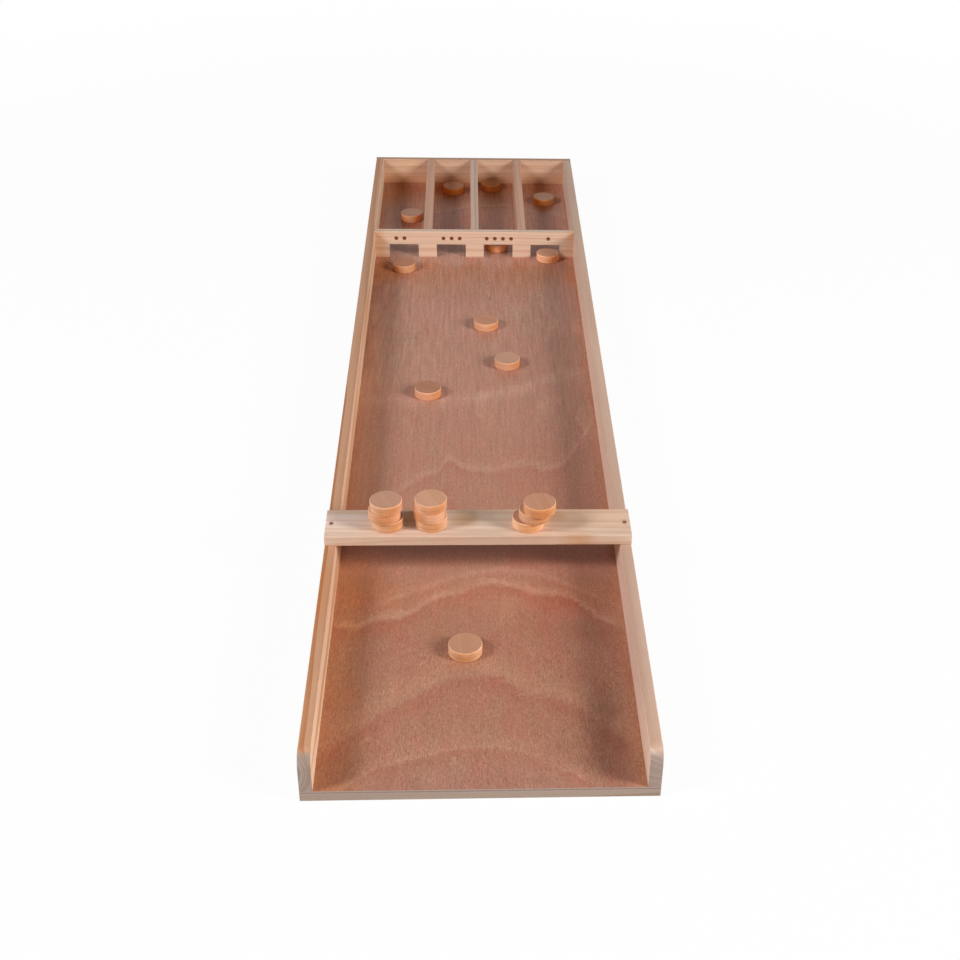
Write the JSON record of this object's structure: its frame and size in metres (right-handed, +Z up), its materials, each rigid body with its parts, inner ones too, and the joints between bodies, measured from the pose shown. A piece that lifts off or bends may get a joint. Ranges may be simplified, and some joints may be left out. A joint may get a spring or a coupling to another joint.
{
  "type": "dutch shuffleboard",
  "caption": "Long wooden shuffleboard tray with a crossbar, gates marked with dots, scoring compartments and loose turned discs.",
  "frame": {"origin": "on the table under the middle of the board, at the centre of the bounding box's bottom", "axes": "+X to the player's right, +Y along the board from the player to the gates, +Z up"},
  "size_m": [0.41, 1.8, 0.1261],
  "materials": {
    "plywood": "waxed plywood",
    "rail_pine": "varnished pine",
    "back_pine": "varnished pine",
    "gate_pine": "varnished pine",
    "divider_pine": "planed pine",
    "crossbar_pine": "planed pine",
    "batten_wood": "sawn softwood",
    "beech": "turned beech",
    "dark_steel": "darkened steel"
  },
  "bodies": {
    "board": {"floor_panel": "plywood", "left_rail": "rail_pine", "right_rail": "rail_pine", "back_board": "back_pine", "gate_board": "gate_pine", "left_divider": "divider_pine", "middle_divider": "divider_pine", "right_divider": "divider_pine", "crossbar": "crossbar_pine", "front_batten": "batten_wood", "middle_batten": "batten_wood", "rear_batten": "batten_wood", "crossbar_nails": "dark_steel", "floor_nails": "dark_steel", "gate_board_nails": "dark_steel", "back_board_nails": "dark_steel", "batten_screws": "dark_steel"},
    "front_disc": {"front_disc": "beech"},
    "lane_left_disc": {"lane_left_disc": "beech"},
    "lane_middle_disc": {"lane_middle_disc": "beech"},
    "lane_right_disc": {"lane_right_disc": "beech"},
    "gate_1_disc": {"gate_1_disc": "beech"},
    "gate_4_disc": {"gate_4_disc": "beech"},
    "comp_1_disc": {"comp_1_disc": "beech"},
    "comp_2_disc": {"comp_2_disc": "beech"},
    "comp_3_disc": {"comp_3_disc": "beech"},
    "comp_3_front_disc": {"comp_3_front_disc": "beech"},
    "comp_4_disc": {"comp_4_disc": "beech"},
    "left_stack_disc_1": {"left_stack_disc_1": "beech"},
    "left_stack_disc_2": {"left_stack_disc_2": "beech"},
    "left_stack_disc_3": {"left_stack_disc_3": "beech"},
    "middle_stack_disc_1": {"middle_stack_disc_1": "beech"},
    "middle_stack_disc_2": {"middle_stack_disc_2": "beech"},
    "middle_stack_disc_3": {"middle_stack_disc_3": "beech"},
    "right_stack_disc_1": {"right_stack_disc_1": "beech"},
    "right_stack_disc_2": {"right_stack_disc_2": "beech"},
    "right_stack_disc_3": {"right_stack_disc_3": "beech"}
  },
  "joints": [
    {"name": "front_disc_slide", "type": "slide", "parent": "board", "child": "front_disc", "axis": [0, 1, 0], "range_m": [-0.218, 0.81]},
    {"name": "lane_left_disc_slide", "type": "slide", "parent": "board", "child": "lane_left_disc", "axis": [0, 1, 0], "range_m": [-0.867, 0.505]},
    {"name": "lane_middle_disc_slide", "type": "slide", "parent": "board", "child": "lane_middle_disc", "axis": [0, 1, 0], "range_m": [-0.05, 0.266]},
    {"name": "lane_right_disc_slide", "type": "slide", "parent": "board", "child": "lane_right_disc", "axis": [0, 1, 0], "range_m": [-0.966, 0.06]},
    {"name": "gate_1_disc_slide", "type": "slide", "parent": "board", "child": "gate_1_disc", "axis": [0, 1, 0], "range_m": [-1.341, 0.16]},
    {"name": "gate_4_disc_slide", "type": "slide", "parent": "board", "child": "gate_4_disc", "axis": [0, 1, 0], "range_m": [-1.387, 0.18]},
    {"name": "comp_1_disc_slide", "type": "slide", "parent": "board", "child": "comp_1_disc", "axis": [0, 1, 0], "range_m": [-0.03, 0.168]},
    {"name": "comp_2_disc_slide", "type": "slide", "parent": "board", "child": "comp_2_disc", "axis": [0, 1, 0], "range_m": [-0.289, 0.025]},
    {"name": "comp_3_disc_slide", "type": "slide", "parent": "board", "child": "comp_3_disc", "axis": [0, 1, 0], "range_m": [-0.155, 0.007]},
    {"name": "comp_3_front_disc_slide", "type": "slide", "parent": "board", "child": "comp_3_front_disc", "axis": [0, 1, 0], "range_m": [-0.006, 0.1]},
    {"name": "comp_4_disc_slide", "type": "slide", "parent": "board", "child": "comp_4_disc", "axis": [0, 1, 0], "range_m": [-0.05, 0.08]},
    {"name": "left_stack_disc_1_lift", "type": "slide", "parent": "board", "child": "left_stack_disc_1", "axis": [0, 0, 1], "range_m": [0, 0.06]},
    {"name": "left_stack_disc_2_lift", "type": "slide", "parent": "left_stack_disc_1", "child": "left_stack_disc_2", "axis": [0, 0, 1], "range_m": [0, 0.06]},
    {"name": "left_stack_disc_3_lift", "type": "slide", "parent": "left_stack_disc_2", "child": "left_stack_disc_3", "axis": [0, 0, 1], "range_m": [0, 0.06]},
    {"name": "middle_stack_disc_1_lift", "type": "slide", "parent": "board", "child": "middle_stack_disc_1", "axis": [0, 0, 1], "range_m": [0, 0.06]},
    {"name": "middle_stack_disc_2_lift", "type": "slide", "parent": "middle_stack_disc_1", "child": "middle_stack_disc_2", "axis": [0, 0, 1], "range_m": [0, 0.06]},
    {"name": "middle_stack_disc_3_lift", "type": "slide", "parent": "middle_stack_disc_2", "child": "middle_stack_disc_3", "axis": [0, 0, 1], "range_m": [0, 0.06]},
    {"name": "right_stack_disc_1_lift", "type": "slide", "parent": "board", "child": "right_stack_disc_1", "axis": [0, 0, 1], "range_m": [0, 0.06]},
    {"name": "right_stack_disc_2_lift", "type": "slide", "parent": "right_stack_disc_1", "child": "right_stack_disc_2", "axis": [0, 0, 1], "range_m": [0, 0.06]},
    {"name": "right_stack_disc_3_lift", "type": "slide", "parent": "right_stack_disc_2", "child": "right_stack_disc_3", "axis": [0, 0, 1], "range_m": [0, 0.06]}
  ]
}
